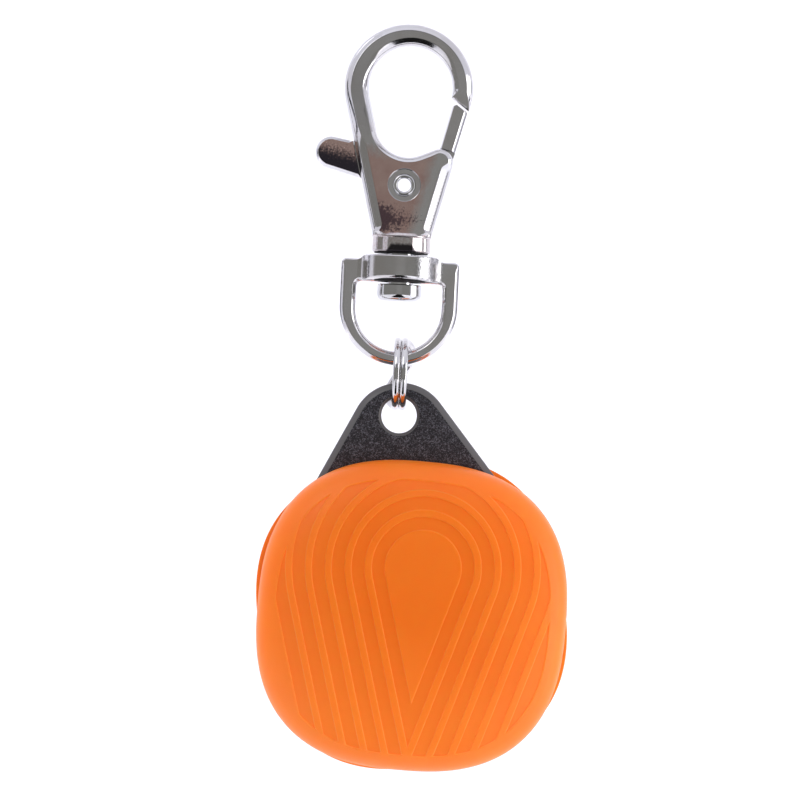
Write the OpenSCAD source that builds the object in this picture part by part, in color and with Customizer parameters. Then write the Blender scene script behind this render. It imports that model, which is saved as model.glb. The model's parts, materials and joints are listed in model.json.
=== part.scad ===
// Clip-on safety light: a swivel trigger snap hook, a split ring and a two-sided pebble light
// on an eared mounting plate. Millimetres, +Z up, front of the light towards -Y.
// The origin is at the inside top of the hook, where the object hangs from a loop or a ring.

/* [Hook] */
// Outside radius of the hook's round top
loop_r = 7.25; // [7.1:0.05:7.4]
// Radius of the opening at the top
opening_top_r = 4.9; // [4.7:0.05:5]
// Radius of the opening at the bottom
opening_bottom_r = 3.85; // [3.7:0.05:3.9]
// Thickness of the hook's loop from front to back
loop_t = 2.8; // [2.4:0.1:3]
// Thickness of the hook's body from front to back
body_t = 5.6; // [5.2:0.1:6]
// Lean of the body's two flanks
flank = 14.1; // [13.8:0.1:14.4]
// Radius of the round neck under the body
neck_r = 3.4; // [3.3:0.05:3.5]

/* [Lever] */
// Thickness of the lever where it turns in the slot
tongue_t = 1.5; // [1.3:0.1:1.6]
// Thickness of the gate and of the thumb tab
gate_t = 2.4; // [2:0.1:2.6]
// Radius of the eyelet rivet's barrel
rivet_r = 1.05; // [0.95:0.05:1.1]

/* [Swivel eye] */
// Outside radius of the D
eye_r = 6.5; // [6.4:0.05:6.6]
// Radius of the opening in the D
eye_opening_r = 4.86; // [4.8:0.02:4.9]
// Thickness of the D from front to back
eye_t = 2; // [1.8:0.1:2.2]
// Radius of the collar that turns under the neck
collar_r = 4.35; // [4.2:0.05:4.5]

/* [Split ring] */
// Outside diameter of the split ring
ring_od = 8.3; // [8.2:0.05:8.4]
// Diameter of its wire
ring_wire = 0.8; // [0.7:0.05:0.8]

/* [Light] */
// Half width of the light across its flat sides
puck_half = 17.35; // [17.2:0.05:17.5]
// Squareness of the light's outline (2 is a circle)
squareness = 2.55; // [2.5:0.01:2.6]
// Thickness of the whole light
puck_t = 15; // [14.8:0.1:15.4]
// Wall of the two covers
cover_wall = 1.5; // [1.4:0.05:1.5]
// Thickness of the mounting plate
plate_t = 2; // [1.9:0.05:2]
// Radius of the hole in the plate's ear
ear_hole_r = 2; // [2:0.01:2.05]

/* [Rest pose] */
// Swing of the light on the split ring, anticlockwise from the front
light_swing = 6.35; // [0:0.05:7]
// Turn of the front cover, clockwise from the front
front_turn = 8.6; // [0:0.1:9]
// Turn of the rear cover, anticlockwise from the front
rear_turn = 4.9; // [0:0.1:5]

/* [Hidden] */
$fn = 96;
run_gap = 0.05;             // radial clearance of every pivot
big = 30;                   // longer than anything it cuts

// Hook: heights below the inside top of its opening
loop_z = -4.98;
opening_top_z = -opening_top_r;
opening_bottom_z = -9;
body_bottom_z = -21.3;
neck_bottom_z = -23.6;
neck_chamfer = 0.3;
neck_step = 0.2;
flank_x = loop_r * cos(flank);
flank_z = loop_z - loop_r * sin(flank);
shoulder_r = 1.5;
shoulder_z = -13.25;
shoulder_x = (loop_r - shoulder_r + sin(flank) * (shoulder_z - loop_z)) / cos(flank);
nose_out = 15;              // angles below level at which the slanted nose starts and ends
nose_in = 3;
housing_top_z = -10.6;
housing_bevel = 1.2;
slot_t = tongue_t + 0.2;
slot_top_z = -10.9;
slot_floor_z = -18.8;

// Lever and its rivet
pivot = [0, -16];
hub_r = 2;
tab_r = 1.75;
tab = [-8.4, -12.55];
tab_end_x = -6.2;           // the tab is as thick as the gate to the left of this, and thin to the right
rivet_bore_r = 0.75;
rivet_flange_r = 1.35;
rivet_seat_r = 1.85;
rivet_seat_depth = 0.5;
rivet_flange_t = 0.4;
spring_x = -3;
spring_r = 0.55;
spring_wire = 0.22;
spring_turns = 4;
spring_top_z = -16.88;

// Swivel
post_r = 1.5;
post_top_z = -20.9;
head_r = 2.5;
head_top_z = -27.1;
head_bottom_z = -28.8;
head_round = 0.6;
collar_top_z = -23.9;
collar_bottom_z = -26.8;
eye_top_z = -24.4;
eye_bar_z = -26.9;
eye_z = -29.7;
eye_opening_z = -29.8;
eye_corner = 0.8;
eye_fillet = 0.6;

// Split ring, and the point on it that the light swings about
link_x = 0.55;
ring_mean_r = (ring_od - ring_wire) / 2;
ring_z = -37.15;
ring_pitch = ring_wire + 0.02;
ring_crossing = 40;         // degrees in which the wire passes from one coil to the other
swing_z = ring_z - ring_mean_r;

// Light, measured from the swing point; h is the distance from its middle plane to the front
puck_drop = 23.45;
plate_h = plate_t / 2;
ear_r = 5.6;
ear_z = -2.85;
ear_flank = 33;
ear_hole_z = -0.95;
plate_inset = 0.75;
core_r = 12.9;
core_h = 3.9;
dome = 3.4;                 // flatness of the covers' faces (2 is a ball)
rim_h = plate_h + 0.15;
carrier_half = puck_half - cover_wall - 0.25;
carrier_top_h = rim_h + 1.6;
ring_slot_h = carrier_top_h + 0.1;
ring_slot_t = 0.6;
lug_r = 13.6;
lug_arc = 36;
notch_arc = 42;
seal_r = 14.45;
seal_wire_r = 0.42;
cell_r = 10;
cell_top_h = 0.3;
cell_t = 3.2;
web_h = [0.8, 1.6];
rear_room_r = 10.4;
front_room_r = 10.8;
board_h = 2.5;
board_t = 0.8;
board_r = 10.6;
screw_r = 0.6;
screw_depth = 0.4;
screw_head_r = 1.2;
screw_head_t = 0.5;
screw_slot = [1.4, 0.24, 0.25];
screw_ring_r = 8.6;
screw_boss_r = 1.6;
screw_angles = [90, 210, 330];
led_ring_r = 4.6;
led_angles = [30, 150, 270];
led = [2.8, 3.5, 0.7];
chip = [3, 3, 0.9];
board_face_h = board_h + board_t;
pad_t = 0.04;
pad_r = [8.4, 9.4];
pad_places = [[40, 14], [8, 20]];   // centre and width in degrees of the switch's two pads
wiper_t = 0.2;
wiper_foot = [14, 15.6];
wiper_half_w = 1;
contact_t = 0.15;
contact_bore_r = 0.9;
contact_slot_r = 9.8;
foam_r = 7;
foam_t = 2.9;

// ---- Shared shapes ----

// A flat outline drawn in X and Z, given a thickness from front to back
module slab(thickness) {
    rotate([90, 0, 0]) linear_extrude(thickness, center = true) children();
}

// Places what belongs to the light: origin at the swing point, turned with the light
module in_light() {
    translate([link_x, 0, swing_z]) rotate([0, -light_swing, 0]) children();
}

// Places what is round about the light's own axis; local Z is h and points to the front
module on_axis(turn = 0) {
    in_light() translate([0, 0, -puck_drop]) rotate([0, turn, 0]) rotate([90, 0, 0]) children();
}

// Points along an arc, both ends included
function arc(centre, r, from, to, steps) =
    [for (i = [0:steps]) let (a = from + (to - from) * i / steps) centre + r * [cos(a), sin(a)]];

// A disc or ring about local Z between two heights
module ring_band(outer, inner, low, high) {
    translate([0, 0, low]) difference() {
        cylinder(r = outer, h = high - low);
        translate([0, 0, -1]) cylinder(r = inner, h = high - low + 2);
    }
}

// A piece of a ring, centred on one angle
module ring_sector(outer, inner, low, high, centre, arc) {
    rotate([0, 0, centre - arc / 2]) rotate_extrude(angle = arc)
        translate([inner, low]) square([outer - inner, high - low]);
}

// Radius of the rounded-square outline at an angle
function squircle(half, angle) =
    half / pow(pow(abs(cos(angle)), squareness) + pow(abs(sin(angle)), squareness), 1 / squareness);

module squircle_outline(half, steps = 96) {
    polygon([for (i = [0:steps - 1]) let (a = 360 * i / steps) squircle(half, a) * [cos(a), sin(a)]]);
}

// A closed tube along a list of points, its section turned to each frame's two side directions
module wire(points, sides_a, sides_b, radius, facets) {
    count = len(points);
    ring = [for (i = [0:count - 1]) for (k = [0:facets - 1])
        points[i] + radius * (cos(360 * k / facets) * sides_a[i] + sin(360 * k / facets) * sides_b[i])];
    skin = [for (i = [0:count - 2]) for (k = [0:facets - 1])
        [i * facets + k, i * facets + (k + 1) % facets,
         (i + 1) * facets + (k + 1) % facets, (i + 1) * facets + k]];
    start = [[for (k = [facets - 1:-1:0]) k]];
    end = [[for (k = [0:facets - 1]) (count - 1) * facets + k]];
    polyhedron(ring, concat(skin, start, end));
}

// A thin domed cover: outer skin from rim to crown, inner skin from crown back to rim
module domed_cover(half, depth, wall, around = 72, rows = 10) {
    outer = [for (j = [0:rows - 1]) dome_row(half, depth, j / rows, around)];
    inner = [for (j = [rows - 1:-1:0]) dome_row(half - wall, depth - wall, j / rows, around)];
    loops = concat(outer, inner);
    flat = [for (row = loops) each row];
    crown = len(flat);
    last = len(loops) - 1;
    points = concat(flat, [[0, 0, depth], [0, 0, depth - wall]]);
    side = [for (j = [0:last]) if (j != rows - 1) for (i = [0:around - 1])
        let (n = (i + 1) % around, next = (j + 1) % (last + 1))
        [j * around + i, next * around + i, next * around + n, j * around + n]];
    cap = [for (i = [0:around - 1]) let (n = (i + 1) % around)
        [(rows - 1) * around + i, crown, (rows - 1) * around + n]];
    under = [for (i = [0:around - 1]) let (n = (i + 1) % around)
        [rows * around + n, crown + 1, rows * around + i]];
    polyhedron(points, concat(side, cap, under));
}

function dome_row(half, depth, share, around) =
    let (a = 90 * share, s = pow(cos(a), 2 / dome), h = depth * pow(sin(a), 2 / dome))
    [for (i = [0:around - 1])
        let (t = 360 * i / around) squircle(half, t) * s * [cos(t), sin(t), 0] + [0, 0, h]];

// ---- Snap hook ----

// Half width of the hook's outside at a height on its flank
function flank_at(z) = flank_x - (flank_z - z) * tan(flank);

// The hook's outline in one run: over the loop, down the left flank, under the body, up to the
// shoulder, round the opening and back to the slanted nose
module hook_outline() {
    lean = asin((opening_top_r - opening_bottom_r) / (opening_top_z - opening_bottom_z));
    polygon(concat(
        arc([0, loop_z], loop_r, -nose_out, 180 + flank, 64),
        [[-flank_at(body_bottom_z), body_bottom_z], [flank_at(body_bottom_z), body_bottom_z]],
        arc([shoulder_x, shoulder_z], shoulder_r, -flank, 96, 16),
        arc([0, opening_bottom_z], opening_bottom_r, -44, -180 + lean, 32),
        arc([0, opening_top_z], opening_top_r, 180 + lean, -nose_in, 56)
    ));
}

// One long bevel on each of the body's four upright edges
module body_bevels() {
    for (side = [-1, 1], face = [-1, 1])
        translate([side * flank_at(shoulder_z), face * body_t / 2, shoulder_z])
            rotate([0, side * flank, 0]) rotate([0, 0, atan2(face, side)])
                translate([-housing_bevel * sqrt(0.5), -big / 2, -big]) cube([big, big, 2 * big]);
}

module rivet_axis() {
    translate([pivot[0], 0, pivot[1]]) rotate([90, 0, 0]) children();
}

module hook_body() {
    color("#8c8b86") difference() {
        union() {
            slab(body_t) hook_outline();
            rotate_extrude() polygon([
                [0, neck_bottom_z], [neck_r - neck_chamfer, neck_bottom_z],
                [neck_r, neck_bottom_z + neck_chamfer], [neck_r, body_bottom_z - neck_step],
                [neck_r - neck_step, body_bottom_z], [0, body_bottom_z]
            ]);
        }
        body_bevels();
        for (face = [-1, 1])
            translate([-big / 2, face * (loop_t + big) / 2 - big / 2, housing_top_z]) cube(big);
        translate([-big / 2, -slot_t / 2, slot_floor_z]) cube([big, slot_t, slot_top_z - slot_floor_z]);
        rivet_axis() cylinder(r = rivet_r, h = big, center = true);
        for (face = [-1, 1])
            rivet_axis() translate([0, 0, face * (body_t / 2 - rivet_seat_depth + big / 2)])
                cylinder(r = rivet_seat_r, h = big, center = true);
        translate([0, 0, neck_bottom_z - 1]) cylinder(r = post_r, h = post_top_z - neck_bottom_z + 1);
    }
}

// The gate arm above its step, in the hook's outline
module gate_outline() {
    polygon([[5.4, -6.45], [6.8, -7.35], [5.6, -12.05], [3.75, -11.6], [5.1, -6.7]]);
}

module tab_outline() {
    difference() {
        lever_arms();
        translate([tab_end_x, -big]) square([big, big]);
    }
}

module lever_arms() {
    translate(pivot) circle(hub_r);
    translate(tab) circle(tab_r);
    polygon([
        [-8.2, -10.81], [-5.8, -11.15], [-1.2, -14.4], [1.6, -14.8], [3.55, -12.3], [3.75, -11.6],
        [5.6, -12.05], [4.7, -14.9], [2.4, -17.2], [0, -18], [-1.8, -16.86], [-3.9, -16.86],
        [-4.9, -15.3], [-8.8, -14.25]
    ]);
}

module trigger_lever() {
    color("#9a9994") difference() {
        union() {
            slab(tongue_t) lever_arms();
            slab(gate_t) gate_outline();
            slab(gate_t) tab_outline();
        }
        rivet_axis() cylinder(r = rivet_r + run_gap, h = big, center = true);
    }
}

module trigger_spring() {
    steps = 14 * spring_turns;
    foot = slot_floor_z + spring_wire / 2;
    rise = (spring_top_z - slot_floor_z - spring_wire) / steps;
    path = [for (i = [0:steps]) let (a = 360 * spring_turns * i / steps)
        [spring_x + spring_r * cos(a), spring_r * sin(a), foot + rise * i]];
    out = [for (i = [0:steps]) let (a = 360 * spring_turns * i / steps) [cos(a), sin(a), 0]];
    up = [for (i = [0:steps]) [0, 0, 1]];
    color("#b9b9b4") wire(path, up, out, spring_wire / 2, 6);
}

module lever_rivet() {
    seat = body_t / 2 - rivet_seat_depth;
    face = seat + rivet_flange_t;
    color("#cfcfca") rivet_axis() rotate_extrude() polygon([
        [rivet_bore_r, -face], [rivet_flange_r, -face], [rivet_flange_r, -seat],
        [rivet_r, -seat], [rivet_r, seat], [rivet_flange_r, seat],
        [rivet_flange_r, face], [rivet_bore_r, face]
    ]);
}

// ---- Swivel ----

module swivel_rivet() {
    color("#a3a29d") rotate_extrude() polygon(concat(
        [[0, head_bottom_z]],
        arc([head_r - head_round, head_bottom_z + head_round], head_round, -90, 0, 8),
        [[head_r, head_top_z], [post_r, head_top_z], [post_r, post_top_z], [0, post_top_z]]
    ));
}

// A D: half a circle below centre_z, straight sides above it and rounded corners under the flat top
module d_outline(r, centre_z, top_z, corner) {
    polygon(concat(
        arc([0, centre_z], r, 180, 360, 48),
        arc([r - corner, top_z - corner], corner, 0, 90, 8),
        arc([corner - r, top_z - corner], corner, 90, 180, 8)
    ));
}

module swivel_eye() {
    color("#96958f") difference() {
        union() {
            slab(eye_t) difference() {
                d_outline(eye_r, eye_z, eye_top_z, eye_corner);
                d_outline(eye_opening_r, eye_opening_z, eye_bar_z, eye_fillet);
            }
            translate([0, 0, collar_bottom_z]) cylinder(r = collar_r, h = collar_top_z - collar_bottom_z);
        }
        translate([0, 0, eye_bar_z - 1]) cylinder(r = post_r + run_gap, h = collar_top_z - eye_bar_z + 2);
    }
}

// ---- Split ring ----

// Sideways place of the wire at an angle along its two turns
function coil_x(a) =
    let (share = min(1, max(0, (a - 360 + ring_crossing) / ring_crossing)))
    ring_pitch * (share * share * (3 - 2 * share) - 0.5);

module split_ring() {
    steps = 102;
    turn = 720 - ring_crossing - 4;
    angle = [for (i = [0:steps]) turn * i / steps + 60];
    out = [for (a = angle) [0, cos(a), sin(a)]];
    side = [for (a = angle) [1, 0, 0]];
    path = [for (i = [0:steps])
        [link_x + coil_x(angle[i] - 60), ring_mean_r * cos(angle[i]), ring_z + ring_mean_r * sin(angle[i])]];
    color("#b4b2ad") wire(path, side, out, ring_wire / 2, 10);
}

// ---- Light: plate and core ----

module ear_outline() {
    foot_z = -10;
    foot_x = (ear_r + (ear_z - foot_z) * sin(ear_flank)) / cos(ear_flank);
    polygon(concat(
        arc([0, ear_z], ear_r, ear_flank, 180 - ear_flank, 40),
        [[-foot_x, foot_z], [foot_x, foot_z]]
    ));
}

module mount_plate() {
    color("#2b2a30") in_light() difference() {
        slab(plate_t) union() {
            ear_outline();
            translate([0, -puck_drop]) squircle_outline(puck_half - plate_inset);
        }
        translate([0, 0, ear_hole_z]) rotate([90, 0, 0]) cylinder(r = ear_hole_r, h = big, center = true);
        translate([0, 0, -puck_drop]) rotate([90, 0, 0]) cylinder(r = core_r, h = big, center = true);
    }
}

module core_housing() {
    color("#1f1f21") on_axis() difference() {
        union() {
            ring_band(core_r, rear_room_r, -core_h, web_h[0]);
            ring_band(core_r, front_room_r, web_h[1], core_h);
            translate([0, 0, web_h[0]]) cylinder(r = core_r, h = web_h[1] - web_h[0]);
            for (k = [0:2])
                ring_sector(lug_r, core_r - 0.5, -ring_slot_h - ring_slot_t, -ring_slot_h,
                            30 + 120 * k, lug_arc);
            for (a = screw_angles) rotate([0, 0, a]) translate([screw_ring_r, 0, web_h[0]])
                cylinder(r = screw_boss_r, h = board_h - web_h[0]);
        }
        ring_band(core_r + 1, core_r - ring_slot_t, ring_slot_h, ring_slot_h + ring_slot_t);
        for (a = screw_angles) rotate([0, 0, a]) translate([screw_ring_r, 0, web_h[1] - screw_depth])
            cylinder(r = screw_r, h = board_h);
        translate([0, 0, web_h[0] - 1]) cylinder(r = contact_bore_r, h = board_h);
        ring_sector(rear_room_r, contact_slot_r, web_h[0] - 1, web_h[1] + 1, 180, 20);
    }
}

module retaining_ring() {
    color("#b8b8b4") on_axis() difference() {
        ring_band(lug_r, core_r - ring_slot_t, ring_slot_h, ring_slot_h + ring_slot_t);
        rotate([0, 0, 180]) translate([0, -1.5, 0]) cube([big, 3, big]);
    }
}

// ---- Light: covers that turn ----

// The round-bored ring that a cover is fixed to, on the front (side 1) or the rear (side -1)
module carrier_band(turn, side) {
    on_axis(turn) rotate([side > 0 ? 0 : 180, 0, 0]) difference() {
        translate([0, 0, rim_h]) linear_extrude(carrier_top_h - rim_h) squircle_outline(carrier_half);
        cylinder(r = core_r + run_gap, h = big);
        ring_band(seal_r + 0.5, seal_r - 0.5, 0, rim_h + 0.75);
    }
}

module front_cover() {
    color("#f0712a") on_axis(front_turn) translate([0, 0, rim_h])
        domed_cover(puck_half, puck_t / 2 - rim_h, cover_wall);
}

module front_carrier() {
    color("#26262a") carrier_band(front_turn, 1);
}

module front_seal() {
    color("#141414") on_axis() seal();
}

module seal() {
    translate([0, 0, plate_h + seal_wire_r + 0.01])
        rotate_extrude() translate([seal_r, 0]) circle(seal_wire_r);
}

// Turns a shape drawn for the front side over to the rear side
module to_rear(turn) {
    on_axis(turn) rotate([180, 0, 0]) children();
}

module rear_cover() {
    color("#f0712a") to_rear(-rear_turn) translate([0, 0, rim_h])
        domed_cover(puck_half, puck_t / 2 - rim_h, cover_wall);
}

// Three notches let the cover pass the core's lugs once it is turned to its open end
module rear_carrier() {
    color("#26262a") difference() {
        carrier_band(-rear_turn, -1);
        for (k = [0:2]) on_axis()
            ring_sector(lug_r + 0.1, core_r - 1, -big, -rim_h + 1, 90 + 120 * k, notch_arc);
    }
}

module rear_seal() {
    color("#141414") to_rear(0) seal();
}

module battery_pad() {
    color("#3a3a3c") to_rear(-rear_turn) translate([0, 0, cell_t - cell_top_h + 0.05])
        cylinder(r = foam_r, h = foam_t);
}

// ---- Light: electronics and battery ----

module circuit_board() {
    color("#1d6b3c") on_axis() translate([0, 0, board_h]) difference() {
        cylinder(r = board_r, h = board_t);
        for (a = screw_angles) rotate([0, 0, a]) translate([screw_ring_r, 0, -1])
            cylinder(r = screw_r + 4 * run_gap, h = board_t + 2);
    }
}

module leds() {
    color("#f6efc8") on_axis() for (a = led_angles) rotate([0, 0, a])
        translate([led_ring_r, 0, board_face_h + led[2] / 2]) cube(led, center = true);
}

module driver_chip() {
    color("#222225") on_axis() translate([0, 0, board_face_h + chip[2] / 2]) cube(chip, center = true);
}

module contact_pads() {
    color("#c9a24a") on_axis() for (place = pad_places)
        ring_sector(pad_r[1], pad_r[0], board_face_h, board_face_h + pad_t, place[0], place[1]);
}

module board_screws() {
    tip_h = web_h[1] - screw_depth;
    color("#c2c2bd") on_axis() for (a = screw_angles) rotate([0, 0, a]) translate([screw_ring_r, 0, 0]) {
        translate([0, 0, tip_h]) cylinder(r = screw_r, h = board_face_h - tip_h);
        translate([0, 0, board_face_h]) difference() {
            cylinder(r = screw_head_r, h = screw_head_t);
            for (slot_turn = [0, 90]) rotate([0, 0, slot_turn]) translate([0, 0, screw_head_t])
                cube([screw_slot[0], screw_slot[1], 2 * screw_slot[2]], center = true);
        }
    }
}

// A formed strip that rides on the front carrier and sweeps the board's pads
module switch_wiper() {
    inner = wiper_foot[0];
    tip_r = (pad_r[0] + pad_r[1]) / 2 - 0.3;
    tip_h = board_face_h + pad_t + 0.02;
    arm_h = core_h + 0.2;
    arm_top = arm_h + wiper_t;
    color("#d0a850") on_axis(front_turn) rotate([0, 0, 45]) translate([0, -wiper_half_w, 0]) {
        translate([inner, 0, carrier_top_h]) cube([wiper_foot[1] - inner, 2 * wiper_half_w, wiper_t]);
        translate([inner, 0, carrier_top_h]) cube([wiper_t, 2 * wiper_half_w, arm_top - carrier_top_h]);
        translate([tip_r, 0, arm_h]) cube([inner + wiper_t - tip_r, 2 * wiper_half_w, wiper_t]);
        translate([tip_r, wiper_half_w / 2, tip_h]) cube([wiper_t, wiper_half_w, arm_top - tip_h]);
    }
}

module coin_cell() {
    rim = 0.25;
    step_r = [cell_r - 1.2, cell_r - 0.9];
    color("#c8c9c6") on_axis() rotate_extrude() polygon([
        [0, cell_top_h], [step_r[0], cell_top_h], [step_r[1], cell_top_h - rim],
        [cell_r, cell_top_h - rim], [cell_r, cell_top_h - cell_t + rim],
        [cell_r - rim, cell_top_h - cell_t], [0, cell_top_h - cell_t]
    ]);
}

module positive_contact() {
    color("#d0a850") on_axis()
        ring_sector(cell_r + 0.02 + wiper_t, cell_r + 0.02, cell_top_h - cell_t + 0.4, board_h, 180, 16);
}

module negative_contact() {
    under = web_h[0] - contact_t;
    foot_t = 0.2;
    color("#d0a850") on_axis() {
        translate([-3, -1.2, under]) cube([6, 2.4, contact_t]);
        translate([-contact_t, -0.5, under]) cube([2 * contact_t, 1, board_h - under]);
        for (side = [-1, 1]) translate([side * 2.8, 0, (web_h[0] + cell_top_h) / 2 - 0.02])
            cube([foot_t, 1.6, web_h[0] - cell_top_h - 0.04], center = true);
    }
}

hook_body();
trigger_lever();
trigger_spring();
lever_rivet();
swivel_rivet();
swivel_eye();
split_ring();
mount_plate();
core_housing();
front_cover();
front_carrier();
front_seal();
retaining_ring();
rear_cover();
rear_carrier();
rear_seal();
circuit_board();
leds();
driver_chip();
contact_pads();
switch_wiper();
board_screws();
coin_cell();
positive_contact();
negative_contact();
battery_pad();
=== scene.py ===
import json
import math

import bmesh
import bpy
import numpy as np
from mathutils import Matrix, Vector
from mathutils.geometry import delaunay_2d_cdt


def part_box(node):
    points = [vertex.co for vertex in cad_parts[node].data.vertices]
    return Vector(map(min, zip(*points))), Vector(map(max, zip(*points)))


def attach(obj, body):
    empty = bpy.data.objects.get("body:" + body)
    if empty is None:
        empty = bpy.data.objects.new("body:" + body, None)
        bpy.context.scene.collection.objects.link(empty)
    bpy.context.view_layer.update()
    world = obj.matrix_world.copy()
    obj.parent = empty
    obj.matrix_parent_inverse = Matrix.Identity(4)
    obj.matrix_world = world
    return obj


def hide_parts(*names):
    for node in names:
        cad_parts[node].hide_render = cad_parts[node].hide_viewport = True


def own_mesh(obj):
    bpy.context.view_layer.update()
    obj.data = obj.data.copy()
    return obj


# A clip-on safety light: plated snap hook, swivel eye, split ring, black plate and orange covers.
# Shapes are worked out in millimetres in the frame's own axes; the front looks towards -Y.

MM = 0.001
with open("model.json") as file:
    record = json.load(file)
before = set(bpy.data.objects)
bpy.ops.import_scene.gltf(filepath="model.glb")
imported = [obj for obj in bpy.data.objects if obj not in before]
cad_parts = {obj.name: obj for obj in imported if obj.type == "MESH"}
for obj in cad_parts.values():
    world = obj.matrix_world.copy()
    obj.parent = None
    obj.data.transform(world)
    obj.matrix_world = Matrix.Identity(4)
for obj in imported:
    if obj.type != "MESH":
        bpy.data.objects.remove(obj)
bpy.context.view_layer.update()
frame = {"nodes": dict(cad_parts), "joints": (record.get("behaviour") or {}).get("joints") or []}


def box(node):
    """Lowest and highest corner of a CAD node, in millimetres."""
    low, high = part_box(node)
    return np.array(low) / MM, np.array(high) / MM


# ---- Places and sizes that the frame gives ----

JOINTS = {joint["name"]: np.array(joint["pos_m"]) / MM for joint in frame["joints"]}
HOOK_LOW, HOOK_HIGH = box("hook_body")
EYE_LOW, EYE_HIGH = box("swivel_eye")
RIVET_LOW, RIVET_HIGH = box("swivel_rivet")
SPRING_LOW, SPRING_HIGH = box("trigger_spring")
RING_LOW, RING_HIGH = box("split_ring")
EYELET_TOP = box("lever_rivet")[1][1]
PLATE_Y = box("mount_plate")[1][1]
CROWN_Y = -box("front_cover")[0][1]

PIVOT = JOINTS["trigger_pivot"][[0, 2]]
SWING = JOINTS["light_swing"][[0, 2]]
PUCK = JOINTS["front_twist"][[0, 2]]
LIGHT_LEAN = math.atan2(PUCK[0] - SWING[0], SWING[1] - PUCK[1])

LOOP_R = (HOOK_HIGH[0] - HOOK_LOW[0]) / 2
LOOP_Z = HOOK_HIGH[2] - LOOP_R
LOOP_HALF = 1.4             # half the thickness of the hook's loop
BODY_HALF = 2.8             # half the thickness of the hook's body
OPENING_TOP = (0.2, -4.85)
OPENING_TOP_R = 4.72
OPENING_LOW = (0.2, -9.15)
OPENING_LOW_R = 3.7
FLANK = 14.1                # lean of the body's flanks, in degrees
FLANK_X = LOOP_R * math.cos(math.radians(FLANK))
FLANK_Z = LOOP_Z - LOOP_R * math.sin(math.radians(FLANK))
SHOULDER = (3.84, -13.25)
SHOULDER_R = 1.5
BEVEL_STEP = (9.3, 12.6)    # depths between which the arms' bevels grow into the body's
ARM_SWELL = (1.0, 12.9)     # depths between which the left arm thickens
SOFT_EDGE = (-5.2, -2.6)    # heights over which the opening's edge turns soft
BODY_TOP_Z = -10
BROWN_REFLECTION_TOP_Z = -9.5          # the broad face's painted brown reflection starts here
DARK_REFLECTION_BAND_Z = -19.9         # middle of the painted dark reflection band low on that face
FOOT_Z = -21.65             # lowest edge of the body's face
NECK_R = 3.4
NECK_FOOT_Z = -23.515       # below this the neck is in the collar's shade
SLOT_HALF = 0.85
SLOT_TOP_Z = -10.9
SLOT_FLOOR_Z = -18.8
SEAT_R = 1.85
SEAT_Y = 2.3
RIVET_BORE_R = 0.75
RIVET_BARREL_R = 1.05
COLLAR_BOTTOM_Z = -26.8
POST_BORE_R = 1.55
RECESS_R = 3.0
COLLAR_ARCH = 0.3           # rise of the collar's lower edge in front and behind

EYE_R = EYE_HIGH[0] + 0.15
EYE_Z = EYE_LOW[2] + EYE_R
EYE_OPENING_Z = -29.8
EYE_OPENING_R = 4.86
EYE_TOP_Z = -24.4
EYE_BAR_Z = -26.9

WIRE_R = 0.4
RING_MEAN_R = (RING_HIGH[2] - RING_LOW[2]) / 2 - WIRE_R
RING_Z = (RING_HIGH[2] + RING_LOW[2]) / 2
RING_CROSSING = 40          # degrees in which the wire passes from one coil to the other
RING_TWIST = 1.1            # how far the back of the ring is bent aside

EAR_R = 5.6
EAR_Z = -2.85               # below the swing point
EAR_FLANK = 33
EAR_HOLE_Z = -0.95
EAR_HOLE_R = 2
CORE_R = 12.9
PLATE_HALF = 16.6

COVER_HALF = 17.35
SQUARENESS = 2.55
DOME = 3.4
RIM_Y = 1.15
COVER_WALL = 1.5
FRONT_TURN = math.radians(2.25)
REAR_TURN = math.radians(-11.25)


# ---- Mesh helpers ----

CORNER_POINTS = 5           # points round each corner of a polygon


def arc(centre, radius, start, end, count):
    """Points along an arc, both ends included; angles in degrees, anticlockwise from +X."""
    a = np.radians(np.linspace(start, end, count))
    return np.stack([centre[0] + radius * np.cos(a), centre[1] + radius * np.sin(a)], 1)


def circle(centre, radius, count):
    """Points round a hole's edge, clockwise."""
    return arc(centre, radius, 360, 0, count + 1)[:-1]


def bend(start, control, end, count):
    """Points along a curve that turns once, towards a control point."""
    t = np.linspace(0, 1, count)[:, None]
    return start * (1 - t) ** 2 + 2 * control * t * (1 - t) + end * t ** 2


def directions(count):
    """Even angles once round, and the way each one points."""
    angle = 2 * np.pi * np.arange(count) / count
    return angle, np.stack([np.cos(angle), np.sin(angle)], 1)


def left_of(points):
    """The unit direction to the left of each side of a closed line."""
    ahead = np.roll(points, -1, 0) - points
    ahead /= np.linalg.norm(ahead, axis=1)[:, None]
    return np.stack([-ahead[:, 1], ahead[:, 0]], 1)


def line(start, end, step=0.25, count=None):
    """Points strictly between two ends, about a step apart or of a given number."""
    start, end = np.array(start, float), np.array(end, float)
    count = count or max(1, int(round(np.linalg.norm(end - start) / step)))
    return start + (end - start) * (np.arange(1, count + 1) / (count + 1))[:, None]


def side_counts(corners, step=0.25):
    """How many points each side of a polygon takes."""
    corners = np.array(corners, float)
    lengths = np.linalg.norm(np.roll(corners, -1, 0) - corners, axis=1)
    return [max(1, int(length / step)) for length in lengths]


def inset_corners(corners, insets):
    """The corners of a polygon whose sides each move in by their own distance."""
    corners = np.array(corners, float)
    left = left_of(corners)
    return np.array([corner + np.linalg.solve(np.array([left[i - 1], left[i]]), [insets[i - 1], insets[i]])
                     for i, corner in enumerate(corners)])


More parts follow.
